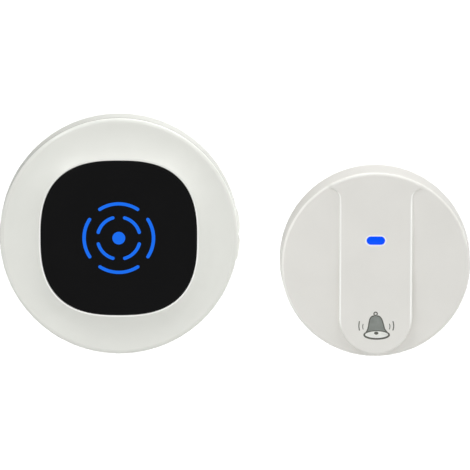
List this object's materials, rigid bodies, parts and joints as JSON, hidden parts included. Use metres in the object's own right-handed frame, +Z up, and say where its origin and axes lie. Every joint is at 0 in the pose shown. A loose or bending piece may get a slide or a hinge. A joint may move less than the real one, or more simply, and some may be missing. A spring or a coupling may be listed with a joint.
{
  "type": "wireless doorbell set",
  "caption": "Wireless doorbell: a round plug-in chime with a lit glossy panel and side keys, and a round push button with a raised bar on a wall plate.",
  "frame": {"origin": "centre of the chime's back face, on the wall plane that both units hang on", "axes": "+X to the right as seen from the front, +Y into the wall, +Z up; both faces look towards -Y"},
  "size_m": [0.1582, 0.0625, 0.0835],
  "materials": {
    "chime_white": "satin moulded ABS, warm white",
    "button_white": "satin moulded ABS, warm white",
    "panel_black": "polished black acrylic",
    "clear_light": "clear acrylic, lit blue",
    "blue_light": "blue lit lens",
    "inner_white": "plain moulded ABS",
    "black_moulding": "black moulded plastic",
    "board_green": "glass-epoxy board with solder resist",
    "seal_rubber": "soft moulded rubber",
    "pressed_steel": "zinc-plated pressed steel",
    "magnet_steel": "black ferrite and steel",
    "speaker_paper": "black pressed paper",
    "speaker_cloth": "black dust cloth",
    "transformer_tape": "yellow insulating tape",
    "fuse_glass": "glass tube with metal caps",
    "copper_wire": "enamelled copper",
    "pin_nickel": "nickel-plated brass",
    "spring_brass": "spring brass",
    "screw_steel": "zinc-plated steel",
    "cell_steel": "stainless steel can",
    "foam_tape": "white foam with adhesive"
  },
  "bodies": {
    "wall_units": {"chime_front_shell": "chime_white", "chime_rear_shell": "chime_white", "plug_insert": "chime_white", "display_panel": "panel_black", "light_guide": "clear_light", "light_shroud": "inner_white", "display_leds": "blue_light", "main_board": "board_green", "melody_switch": "black_moulding", "volume_switch": "black_moulding", "speaker_gasket": "seal_rubber", "speaker_frame": "pressed_steel", "speaker_cone": "speaker_paper", "speaker_magnet": "magnet_steel", "grille_cloth": "speaker_cloth", "power_transformer": "transformer_tape", "filter_capacitor": "black_moulding", "mains_fuse": "fuse_glass", "melody_chip": "black_moulding", "receiver_module": "board_green", "chime_antenna": "copper_wire", "plug_pins": "pin_nickel", "mains_contacts": "spring_brass", "chime_screws": "screw_steel", "hinge_pin": "screw_steel", "button_base": "button_white", "inner_lid": "inner_white", "lid_seal": "seal_rubber", "lid_screws": "screw_steel", "button_board": "board_green", "button_switch": "black_moulding", "button_led": "blue_light", "transmitter_chip": "black_moulding", "radio_crystal": "pressed_steel", "button_antenna": "copper_wire", "coin_cell": "cell_steel", "cell_clip": "spring_brass", "cell_leaf": "spring_brass", "battery_door": "inner_white", "wall_plate": "button_white", "tape_strips": "foam_tape"},
    "melody_key_part": {"melody_key": "chime_white"},
    "volume_key_part": {"volume_key": "chime_white"},
    "melody_stem_part": {"melody_switch_stem": "inner_white"},
    "volume_stem_part": {"volume_switch_stem": "inner_white"},
    "push_cover": {"button_cover": "button_white", "led_lens": "blue_light"},
    "push_stem": {"button_switch_stem": "black_moulding", "switch_cap": "seal_rubber"}
  },
  "joints": [
    {"name": "cover_press", "type": "hinge", "parent": "wall_units", "child": "push_cover", "pos_m": [0.086, -0.0052, 0.0147], "axis": [1, 0, 0], "range_deg": [0, 1], "stiffness_Nm_per_rad": 8.25, "springref_deg": -0.23},
    {"name": "stem_press", "type": "slide", "parent": "wall_units", "child": "push_stem", "axis": [0, 1, 0], "range_m": [0, 0.00044]},
    {"name": "melody_press", "type": "slide", "parent": "wall_units", "child": "melody_key_part", "axis": [-1, 0, 0], "range_m": [0, 0.0004], "stiffness_N_per_m": 4000, "springref_m": -0.0001},
    {"name": "melody_stem_press", "type": "slide", "parent": "wall_units", "child": "melody_stem_part", "axis": [-1, 0, 0], "range_m": [0, 0.0004]},
    {"name": "volume_press", "type": "slide", "parent": "wall_units", "child": "volume_key_part", "axis": [-1, 0, 0], "range_m": [0, 0.0004], "stiffness_N_per_m": 4000, "springref_m": -0.0001},
    {"name": "volume_stem_press", "type": "slide", "parent": "wall_units", "child": "volume_stem_part", "axis": [-1, 0, 0], "range_m": [0, 0.0004]}
  ],
  "couplings": [
    {"joint": "stem_press", "follows": "cover_press", "m_per_rad": 0.024},
    {"joint": "melody_stem_press", "follows": "melody_press", "ratio": 1},
    {"joint": "volume_stem_press", "follows": "volume_press", "ratio": 1}
  ]
}
